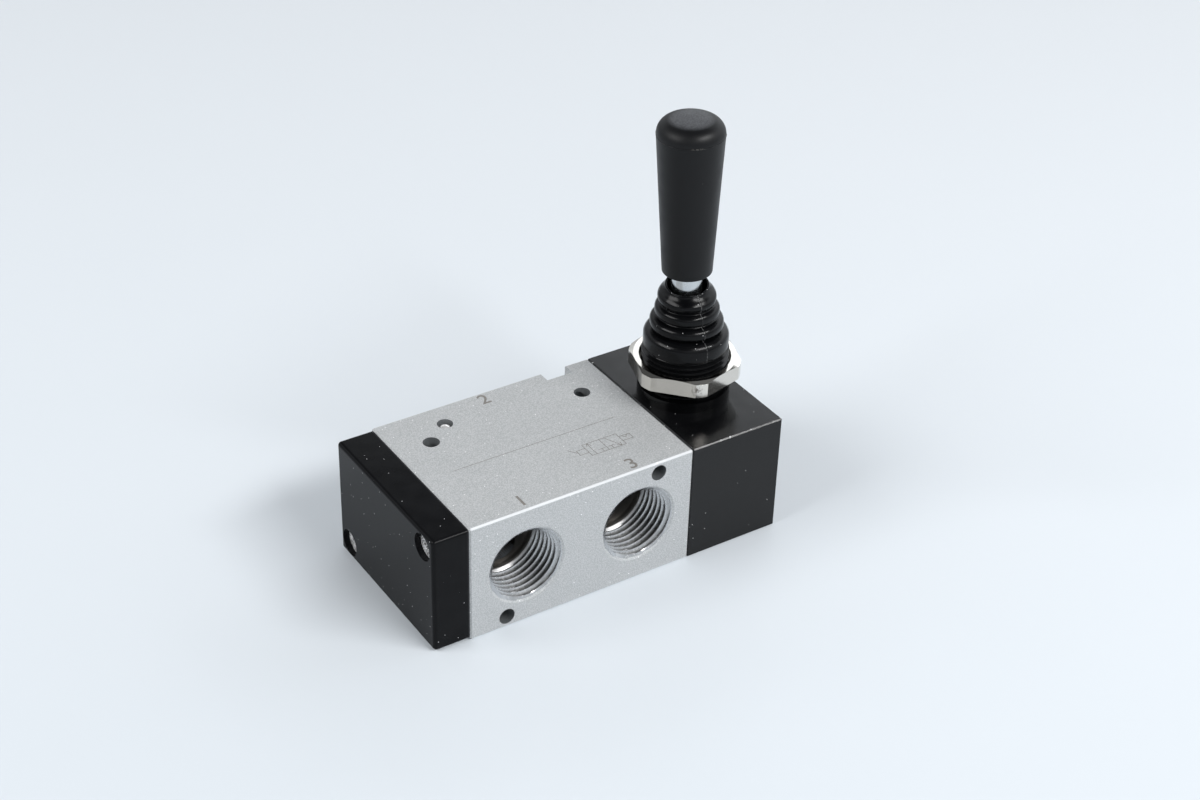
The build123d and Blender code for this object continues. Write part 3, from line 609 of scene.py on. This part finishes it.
def thread_tree():
    """Wall of a threaded hole or stud along +Z, starting at its open end."""
    tree = bpy.data.node_groups.new("thread_wall", "GeometryNodeTree")
    tree.interface.new_socket("Geometry", in_out="INPUT", socket_type="NodeSocketGeometry")
    for name, kind in (("Length", "Float"), ("Pitch", "Float"), ("Wall Radius", "Float"),
                       ("Thread Depth", "Float"), ("End Radius", "Float"), ("End Slope", "Float"),
                       ("Run Out", "Float"), ("Columns", "Int"), ("Rows per Pitch", "Int"),
                       ("Inside", "Bool"), ("Material", "Material")):
        tree.interface.new_socket(name, in_out="INPUT", socket_type="NodeSocket" + kind)
    tree.interface.new_socket("Geometry", in_out="OUTPUT", socket_type="NodeSocketGeometry")
    given = add(tree, "NodeGroupInput").outputs
    grid = add(tree, "GeometryNodeMeshGrid", {"Size X": 1.0, "Size Y": 1.0})
    join(tree, given["Columns"], grid.inputs["Vertices X"])
    whole_pitches = calc(tree, "CEIL", calc(tree, "DIVIDE", given["Length"], given["Pitch"]))
    pitches = calc(tree, "ADD", whole_pitches, 1.0)
    rows = calc(tree, "MULTIPLY_ADD", pitches, given["Rows per Pitch"], 1.0)
    join(tree, rows, grid.inputs["Vertices Y"])
    split = add(tree, "ShaderNodeSeparateXYZ")
    join(tree, add(tree, "GeometryNodeInputPosition").outputs[0], split.inputs[0])
    turn = calc(tree, "ADD", split.outputs[0], 0.5)
    pitch_number = calc(tree, "MULTIPLY", calc(tree, "ADD", split.outputs[1], 0.5), pitches)
    started = calc(tree, "SUBTRACT", pitch_number, 1.0)
    along_helix = calc(tree, "MULTIPLY", calc(tree, "ADD", started, turn), given["Pitch"])
    depth = calc(tree, "MINIMUM", calc(tree, "MAXIMUM", along_helix, 0.0), given["Length"])
    pitches_in = calc(tree, "DIVIDE", depth, given["Pitch"])
    phase = calc(tree, "FRACT", calc(tree, "SUBTRACT", pitches_in, turn))
    slope = calc(tree, "ABSOLUTE", calc(tree, "MULTIPLY_ADD", phase, 2.0, -1.0))
    form = spread(tree, slope, 0.12, 0.88, smooth=False)
    fade_start = calc(tree, "SUBTRACT", given["Length"], given["Run Out"])
    fade = spread(tree, depth, fade_start, given["Length"], 1.0, 0.0)
    cut = calc(tree, "MULTIPLY", calc(tree, "MULTIPLY", form, fade), given["Thread Depth"])
    radius = calc(tree, "ADD", given["Wall Radius"], cut)
    end_reach = calc(tree, "MULTIPLY", depth, given["End Slope"])
    funnel = calc(tree, "MAXIMUM", radius, calc(tree, "SUBTRACT", given["End Radius"], end_reach))
    taper = calc(tree, "MINIMUM", radius, calc(tree, "ADD", given["End Radius"], end_reach))
    choice = add(tree, "GeometryNodeSwitch", input_type="FLOAT")
    join(tree, given["Inside"], choice.inputs["Switch"])
    join(tree, taper, choice.inputs["False"])
    join(tree, funnel, choice.inputs["True"])
    angle = calc(tree, "MULTIPLY", turn, 2 * pi)
    place = add(tree, "ShaderNodeCombineXYZ")
    join(tree, calc(tree, "MULTIPLY", choice.outputs[0], calc(tree, "COSINE", angle)), place.inputs[0])
    join(tree, calc(tree, "MULTIPLY", choice.outputs[0], calc(tree, "SINE", angle)), place.inputs[1])
    join(tree, depth, place.inputs[2])
    shaped = add(tree, "GeometryNodeSetPosition")
    join(tree, grid.outputs["Mesh"], shaped.inputs["Geometry"])
    join(tree, place.outputs[0], shaped.inputs["Position"])
    closed = add(tree, "GeometryNodeMergeByDistance", {"Distance": 1e-7})
    join(tree, shaped.outputs[0], closed.inputs["Geometry"])
    flipped = add(tree, "GeometryNodeFlipFaces")
    join(tree, closed.outputs[0], flipped.inputs["Mesh"])
    join(tree, given["Inside"], flipped.inputs["Selection"])
    real = add(tree, "GeometryNodeRealizeInstances")
    join(tree, flipped.outputs[0], real.inputs["Geometry"])
    coat = add(tree, "GeometryNodeSetMaterial")
    join(tree, real.outputs[0], coat.inputs["Geometry"])
    join(tree, given["Material"], coat.inputs["Material"])
    join(tree, coat.outputs[0], add(tree, "NodeGroupOutput").inputs[0])
    return tree


def made_by(tree, place, **sizes):
    """Mesh that a geometry tree makes with these sizes, put in place."""
    carrier = bpy.data.objects.new("carrier", bpy.data.meshes.new("carrier"))
    bpy.context.scene.collection.objects.link(carrier)
    modifier = carrier.modifiers.new("shape", "NODES")
    modifier.node_group = tree
    for socket in tree.interface.items_tree:
        key = socket.name.replace(" ", "_")
        if socket.in_out == "INPUT" and key in sizes:
            modifier[socket.identifier] = sizes[key]
    bpy.context.view_layer.update()
    mesh = bpy.data.meshes.new_from_object(carrier.evaluated_get(bpy.context.evaluated_depsgraph_get()))
    carrier.modifiers.clear()
    bpy.data.objects.remove(carrier)
    mesh.transform(place)
    return mesh


def distance_to_axis(point, start, direction):
    """(distance from an axis, distance along it)"""
    off = point - start
    along = off.dot(direction)
    return (off - direction * along).length, along


def fit_thread(shape, start, direction, radii, reach, wall, tuck=0.0):
    """Takes the plain wall between two radii and along reach out of shape, and joins a thread
    wall in. Holes that cross the wall end at radius tuck, behind the thread."""
    start, direction = Vector(start), Vector(direction)
    slack = 0.004 * MM

    def on_wall(vert):
        r, along = distance_to_axis(vert.co, start, direction)
        return radii[0] - slack <= r <= radii[1] + slack and -slack <= along <= reach + slack

    def at_depth(part, depth):
        return all(abs(distance_to_axis(v.co, start, direction)[1] - depth) < slack for v in part.verts)

    plain = [f for f in shape.faces if all(on_wall(v) for v in f.verts)]
    flat_end = [f for f in plain if abs(f.normal.dot(direction)) > 0.999 and at_depth(f, reach)]
    bmesh.ops.delete(shape, geom=[f for f in plain if f not in flat_end], context="FACES")
    for vert in shape.verts:
        vert.tag = True
    rims = [e for e in shape.edges if e.is_boundary]
    shape.from_mesh(wall)
    rims += [e for e in shape.edges if e.is_boundary and not e.verts[0].tag]

    cross_holes = [e for e in rims if not at_depth(e, 0) and not at_depth(e, reach)]
    for vert in {v for e in cross_holes for v in e.verts}:
        r, along = distance_to_axis(vert.co, start, direction)
        axis_point = start + direction * along
        vert.co = axis_point + (vert.co - axis_point) * (tuck / r)
    if cross_holes:
        bmesh.ops.holes_fill(shape, edges=cross_holes)
    for depth in (0, reach):
        bmesh.ops.bridge_loops(shape, edges=[e for e in rims if at_depth(e, depth)])


# Valve body

def put_faces_on(mesh, number, chosen):
    """Gives the faces whose centre chosen picks the material of that number."""
    for face in mesh.polygons:
        if chosen(face.center):
            face.material_index = number


def in_port(centre):
    """True for faces of a port's threaded wall or mouth."""
    return any(Vector((centre.x - port_x, centre.z - port_height)).length < port_mouth_radius
               and centre.y * side > half_depth - port_depth - 0.1 * MM for port_x, side in ports)


def body_skin(centre):
    """True for the blasted outside, its broken edges, its notch and the countersinks of the ports."""
    skin = 0.001 * MM
    if abs(centre.y) > half_depth - skin or centre.z > body_height - skin or centre.z < skin:
        return True
    if abs(centre.x - body_start) < edge_band or abs(centre.x - body_end) < edge_band:
        return True
    if min(centre.z, body_height - centre.z) < edge_band and abs(centre.y) > half_depth - edge_band:
        return True
    if abs(centre.y) > half_depth - port_mouth_band:
        return in_port(centre)
    return centre.y > notch_floor and abs(centre.x - notch_x) < notch_half_width


def drilled_hole(centre):
    """True for the walls of the mounting holes and of the hole with the ball."""
    if body_skin(centre) or in_port(centre):
        return False
    off_axis = Vector((centre.y, centre.z - port_height)).length
    return abs(centre.y) > port_window_reach or off_axis > chamber_reach


def tapped_body(tree, blasted, cut, hole_painted_shade):
    """Valve body with tapped threads in its three ports."""
    shape = merged_copy("valve_body")
    for port_x, side in ports:
        start = Vector((port_x, side * half_depth, port_height))
        inward = Vector((0, -side, 0))
        wall = made_by(tree, frame_at(start, inward), Length=port_depth, Pitch=port_thread_pitch,
                       Wall_Radius=port_wall_radius, Thread_Depth=port_thread_depth,
                       End_Radius=port_mouth_radius, End_Slope=port_mouth_slope,
                       Run_Out=port_thread_run_out, Columns=97, Rows_per_Pitch=14, Inside=True,
                       Material=cut)
        fit_thread(shape, start, inward, (port_wall_radius, port_mouth_radius), port_depth, wall)
    mesh = mesh_of(shape, "tapped_body")
    piece = object_from("tapped_body", mesh, "valve", cut, blasted, hole_painted_shade)
    mesh.set_sharp_from_angle(angle=radians(24))
    put_faces_on(mesh, 1, body_skin)
    # The hole walls take the dark finish that is painted shade.
    put_faces_on(mesh, 2, drilled_hole)
    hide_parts("valve_body")
    return piece


# Marks on the top of the body

def numeral(text, x, y):
    """Flat numeral on the body's top, centred at x, y."""
    curve = bpy.data.curves.new("numeral", "FONT")
    curve.body = text
    curve.size = numeral_height * 1.42
    curve.align_x = "CENTER"
    curve.align_y = "CENTER"
    curve.extrude = mark_rise
    curve.offset = 0.05 * MM
    writing = bpy.data.objects.new("numeral", curve)
    bpy.context.scene.collection.objects.link(writing)
    bpy.context.view_layer.update()
    mesh = bpy.data.meshes.new_from_object(writing.evaluated_get(bpy.context.evaluated_depsgraph_get()))
    bpy.data.objects.remove(writing)
    bpy.data.curves.remove(curve)
    mesh.transform(Matrix.Translation((x, y, body_height)))
    return mesh


def stroke(shape, points, width):
    """Thin flat line through points on the body's top."""
    for (ax, ay), (bx, by) in zip(points, points[1:]):
        along = Vector((bx - ax, by - ay, 0))
        across = Vector((-along.y, along.x, 0)).normalized() * width / 2
        lap = along.normalized() * width / 2
        a = Vector((ax, ay, body_height)) - lap
        b = Vector((bx, by, body_height)) + lap
        corners = [a - across, b - across, b + across, a + across]
        raised = Vector((0, 0, mark_rise))
        low = [shape.verts.new(c - raised) for c in corners]
        high = [shape.verts.new(c + raised) for c in corners]
        shape.faces.new(high)
        shape.faces.new(low[::-1])
        for n in range(4):
            m = (n + 1) % 4
            shape.faces.new((low[n], low[m], high[m], high[n]))


def valve_symbol(shape):
    """Two-position circuit symbol: two squares with their flow paths. Points count in squares."""
    def line(*points):
        left, bottom = symbol_corner
        stroke(shape, [(left + u * symbol_square, bottom + v * symbol_square) for u, v in points],
               symbol_width)

    line((0, 0), (2, 0), (2, 1), (0, 1), (0, 0))
    line((1, 0), (1, 1))
    # Left square: path up, and a closed port
    line((0.28, 0), (0.28, 1))
    line((0.16, 0.76), (0.28, 1), (0.4, 0.76))
    line((0.72, 0), (0.72, 0.26))
    line((0.56, 0.26), (0.88, 0.26))
    # Right square: slanted path down, and a closed port
    line((1.28, 1), (1.76, 0))
    line((1.56, 0.16), (1.76, 0), (1.8, 0.3))
    line((1.28, 0), (1.28, 0.26))
    line((1.12, 0.26), (1.44, 0.26))
    # Hand lever on the left, detent on the right
    line((0, 0.3), (-0.5, 0.3), (-0.5, 0.7), (0, 0.7))
    line((-0.5, 0.5), (-0.85, 0.95))
    line((2, 0.3), (2.6, 0.3), (2.6, 0.7), (2, 0.7))
    line((2.15, 0.7), (2.3, 0.5), (2.45, 0.7))


def top_marks(mark):
    """Port numerals, a rule line and a circuit symbol, laser marked on the top."""
    shape = bmesh.new()
    for text, x, y in numerals:
        shape.from_mesh(numeral(text, x, y))
    bmesh.ops.remove_doubles(shape, verts=shape.verts, dist=1e-7)
    stroke(shape, rule_line, rule_width)
    valve_symbol(shape)
    piece = object_from("top_marks", mesh_of(shape, "top_marks"), "valve", mark)
    return piece


# Lever block, its collar and nut

def lever_block(tree, coat, collar):
    """Lever block with the thread cut on its collar."""
    shape = merged_copy("lever_housing")
    start, down = Vector((lever_x, 0, collar_top)), Vector((0, 0, -1))
    reach = collar_top - collar_foot_top
    root_radius = collar_radius - collar_thread_depth
    wall = made_by(tree, frame_at(start, down), Length=reach, Pitch=collar_thread_pitch,
                   Wall_Radius=root_radius, Thread_Depth=collar_thread_depth,
                   End_Radius=collar_end_radius, End_Slope=1.0, Run_Out=0.8 * MM, Columns=121,
                   Rows_per_Pitch=12, Inside=False, Material=collar)
    fit_thread(shape, start, down, (collar_bore_radius, collar_radius), reach, wall,
               tuck=root_radius - 0.15 * MM)
    mesh = mesh_of(shape, "lever_block")
    piece = object_from("lever_block", mesh, "valve", coat, collar)
    put_faces_on(mesh, 1, lambda centre: centre.z > body_height + 0.02 * MM)
    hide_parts("lever_housing")
    return piece


def hexagon_nut(node, nickel):
    """Panel nut with its sharp edges softly broken."""
    shape = merged_copy(node)
    bmesh.ops.dissolve_limit(shape, angle_limit=radians(1.0), verts=shape.verts, edges=shape.edges)
    piece = object_from("hexagon_nut", mesh_of(shape, "hexagon_nut"), None, nickel)
    bevel = piece.modifiers.new("edge_break", "BEVEL")
    bevel.width = nut_edge_break
    bevel.segments = 2
    bevel.limit_method = "ANGLE"
    bevel.angle_limit = radians(15)
    mesh = bpy.data.meshes.new_from_object(piece.evaluated_get(bpy.context.evaluated_depsgraph_get()))
    bpy.data.objects.remove(piece)
    piece = object_from("hexagon_nut", mesh, "valve", nickel)
    mesh.set_sharp_from_angle(angle=radians(40))
    easing = piece.modifiers.new("eased_edges", "WEIGHTED_NORMAL")
    easing.keep_sharp = True
    easing.weight = 100
    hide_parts(node)
    return piece


# Boot and grip

def arc(radius, height, bend, start, end, steps=9):
    """Points of an arc about (radius, height), from start to end degrees."""
    turns = [radians(start + (end - start) * n / steps) for n in range(steps + 1)]
    return [(radius + bend * cos(turn), height + bend * sin(turn)) for turn in turns]


def curve_through(points, steps=5):
    """Smooth open curve through points."""
    made = []
    ends = [points[0]] + list(points) + [points[-1]]
    for a, b, c, d in zip(ends, ends[1:], ends[2:], ends[3:]):
        for n in range(steps):
            t = n / steps
            made.append(tuple(0.5 * (2 * q + (r - p) * t + (2 * p - 5 * q + 4 * r - v) * t * t
                                     + (3 * q - p - 3 * r + v) * t * t * t)
                              for p, q, r, v in zip(a, b, c, d)))
    return made + [points[-1]]


def boot_outline():
    """Closed outline of the bellows wall: outside up, lip, inside down, cuff. Its numbers are
    radii and heights in millimetres until the last line."""
    outside = [(9.65, 48.2)] + arc(10.9, 48.42, 0.22, -90, -10, 4)
    outside += [(11.15, 49.0), (11.18, 49.8), (11.16, 50.6)] + arc(9.0, 51.05, 2.15, 4, 84)
    outside += [(8.75, 53.28), (8.45, 53.42), (8.45, 53.58)]
    outside += arc(8.6, 54.75, 1.0, -75, 0, 6) + arc(8.05, 55.3, 1.56, 6, 86)
    outside += [(7.85, 56.95), (7.6, 57.12), (7.6, 57.3)]
    outside += arc(7.55, 58.35, 0.88, -72, 0, 5) + arc(6.95, 59.0, 1.48, 6, 84)
    outside += curve_through([(6.95, 60.62), (7.02, 60.95), (7.36, 61.5), (7.56, 62.15), (7.6, 62.75),
                              (7.46, 63.4), (7.0, 64.1), (6.4, 64.75), (5.98, 65.3), (5.72, 65.75)])
    lip = arc(5.42, 65.8, 0.28, 10, 180, 8) + [(5.14, 65.2)]
    inside = curve_through([(5.16, 64.8), (5.7, 64.0), (6.3, 62.8), (5.85, 61.0), (6.9, 59.2),
                            (6.2, 57.3), (8.15, 55.4), (7.1, 53.6), (6.85, 52.9)])
    cuff = [(6.85, 52.25), (9.65, 52.25), (9.65, 50.75), (9.05, 50.75), (9.05, 49.65), (9.65, 49.65)]
    return [(r * MM, h * MM) for r, h in outside + lip + inside + cuff]


def bellows_boot(rubber):
    """Rubber bellows with a mould seam, its upper part leaning with the lever."""
    def wobble(angle, height):
        z = height / MM
        outer = 1.0 if z > 48.4 else 0.0
        nick = 0.5 + 0.5 * sin(z * 9.1) * sin(z * 3.7 + 1.0)
        seam = 0.17 * MM * nick if abs(sin(angle - boot_seam)) < 0.012 else 0.0
        wave = 0.03 * MM * sin(3 * angle + z * 0.9) + 0.02 * MM * sin(5 * angle - z * 1.3)
        return (seam + wave) * outer

    shape = turned(boot_outline(), Matrix.Translation((lever_x, 0, 0)), 192, wobble)
    for vert in shape.verts:
        share = max(0.0, min(1.0, (vert.co.z - boot_bend_start) / boot_bend_reach))
        vert.co.x += sin(boot_lean) * (vert.co.z - pivot_height) * share
        vert.co.z += (vert.co.x - lever_x) * sin(boot_drop) * share
        lip_share = max(0.0, min(1.0, (vert.co.z - boot_lip_start) / boot_lip_reach))
        away = heading_away[0] * (vert.co.x - lever_x) + heading_away[1] * vert.co.y
        vert.co.z += away * boot_lip_tilt * lip_share
    piece = object_from("bellows_boot", mesh_of(shape, "bellows_boot"), None, rubber)
    piece.data.set_sharp_from_angle(angle=radians(60))
    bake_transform(piece)
    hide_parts("boot")
    return piece


def moulded_grip(plastic):
    """Tapered grip with a torn flash line under its dome, and its bore and insert pocket. Its
    numbers are radii and heights above the pivot, in millimetres until outline."""
    start, top, flash = grip_start / MM, grip_top / MM, (grip_top - grip_flash_drop) / MM
    outside = [(4.04, start), (6.3, start)] + arc(6.3, start + 0.2, 0.2, -70, 0, 4)
    outside += [(6.5 + 2.12 * n / 12, start + 0.2 + (flash - 0.28 - start) * n / 12)
                for n in range(1, 13)]
    outside += [(8.62, flash - 0.1), (8.68, flash), (8.6, flash + 0.08)]
    outside += arc(4.92, top - 3.98, 3.7, 2, 76, 14)
    outside += [(4.9, top - 0.22), (3.4, top - 0.09), (1.7, top - 0.02), (0, top)]
    inside = [(0, 53.76), (3.04, 53.76), (3.04, 45.3), (4.64, 45.3), (4.64, 39.9), (5.24, 39.9),
              (5.24, 38.62), (4.64, 38.62), (4.64, 33.22), (3.04, 33.22), (3.04, 32.3), (4.04, 32.3)]

    def torn_flash(angle, height):
        if abs(height / MM - flash) > 0.02:
            return 0.0
        ragged = 0.03 * sin(17 * angle) * sin(31 * angle + 1.0) + 0.02 * sin(47 * angle + 2.0)
        return MM * (0.02 + ragged)

    outline = [(r * MM, h * MM) for r, h in outside + inside]
    shape = turned(outline, frame_at(Vector((lever_x, 0, pivot_height)), lever_up), 160, torn_flash)
    piece = object_from("moulded_grip", mesh_of(shape, "moulded_grip"), "lever", plastic)
    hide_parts("grip")
    return piece


# Stage, light and camera

def stage():
    """Wide pale floor."""
    mesh = bpy.data.meshes.new("floor")
    reach = 4.0
    corners = [(-reach, -reach, 0), (reach, -reach, 0), (reach, reach, 0), (-reach, reach, 0)]
    mesh.from_pydata(corners, [], [(0, 1, 2, 3)])
    mesh.materials.append(floor_paper())
    floor = bpy.data.objects.new("floor", mesh)
    bpy.context.scene.collection.objects.link(floor)


def softbox(name, place, width, height, power):
    """Rectangular lamp that points at the object."""
    light = bpy.data.lights.new(name, "AREA")
    light.shape = "RECTANGLE"
    light.size = width
    light.size_y = height
    light.energy = power
    lamp = bpy.data.objects.new(name, light)
    lamp.location = place
    lamp.rotation_euler = (Vector(lamp_aim) - Vector(place)).to_track_quat("-Z", "Y").to_euler()
    bpy.context.scene.collection.objects.link(lamp)


def studio_light():
    """Pale surround, brightest low behind and to the right, a dim ceiling, and the lamps."""
    world = bpy.data.worlds.new("studio")
    world.use_nodes = True
    tree = world.node_tree
    heading = add(tree, "ShaderNodeTexCoord").outputs["Generated"]
    split = add(tree, "ShaderNodeSeparateXYZ")
    join(tree, heading, split.inputs[0])
    band = add(tree, "ShaderNodeValToRGB")
    join(tree, split.outputs[2], band.inputs[0])
    for number, (height, strength) in enumerate(surround):
        stop = band.color_ramp.elements[number] if number < 2 else band.color_ramp.elements.new(height)
        stop.position = height
        stop.color = (strength * 0.96, strength, strength * 1.04, 1)
    behind = add(tree, "ShaderNodeVectorMath", {1: heading_away}, operation="DOT_PRODUCT")
    join(tree, heading, behind.inputs[0])
    beside = add(tree, "ShaderNodeVectorMath", {1: heading_right}, operation="DOT_PRODUCT")
    join(tree, heading, beside.inputs[0])
    shade = calc(tree, "MULTIPLY", spread(tree, behind.outputs["Value"], -0.3, 0.35, 0.5, 1.0),
                 spread(tree, beside.outputs["Value"], -0.14, 0.1, 0.7, 1.4))
    join(tree, band.outputs[0], tree.nodes["Background"].inputs["Color"])
    join(tree, shade, tree.nodes["Background"].inputs["Strength"])
    bpy.context.scene.world = world
    for lamp in lamps:
        softbox(*lamp)
    bpy.context.scene.view_settings.view_transform = "Standard"


def photo_camera():
    """Camera at the photo's standpoint."""
    level_part = cos(camera_elevation)
    back = Vector((sin(camera_azimuth) * level_part, -cos(camera_azimuth) * level_part,
                   sin(camera_elevation)))
    level = (-back).cross(Vector((0, 0, 1))).normalized()
    upright = level.cross(-back)
    right = level * cos(camera_roll) + upright * sin(camera_roll)
    up = upright * cos(camera_roll) - level * sin(camera_roll)
    camera = bpy.data.objects.new("camera", bpy.data.cameras.new("camera"))
    camera.data.lens = camera_lens
    camera.data.sensor_width = camera_sensor
    turn = Matrix((right, up, back)).transposed().to_4x4()
    camera.matrix_world = Matrix.Translation(camera_place) @ turn
    bpy.context.scene.collection.objects.link(camera)
    bpy.context.scene.camera = camera


def repaint(material, *nodes):
    """Gives CAD nodes that stay as they are their finish."""
    for name in nodes:
        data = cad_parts[name].data
        data.materials.clear()
        data.materials.append(material)


photo_camera()
stage()
studio_light()

steel = bright_steel()
threads = thread_tree()
tapped_body(threads, blasted_aluminium(), cut_aluminium(), drilled_aluminium())
top_marks(laser_mark())
lever_block(threads, black_coat(), black_collar())
hexagon_nut("panel_nut", nickel_plate())
bellows_boot(boot_rubber())
moulded_grip(grip_plastic())
repaint(satin_black(), "end_cap")
repaint(steel, "housing_screws", "pivot_pin", "detent_sleeve", "detent_spring", "detent_ball")
repaint(screw_zinc(), "end_cap_screws")
repaint(polished_ball(), "passage_plug")
repaint(zinc_plate(), "lever_rod")
repaint(turned_brass(), "grip_insert")
repaint(turned_aluminium(), "spool")
repaint(wear_plastic(), "wear_ring")
repaint(seal_rubber(), "end_cap_seal", "housing_seal", "spool_seal_1", "spool_seal_2", "spool_seal_3",
        "spool_seal_4")
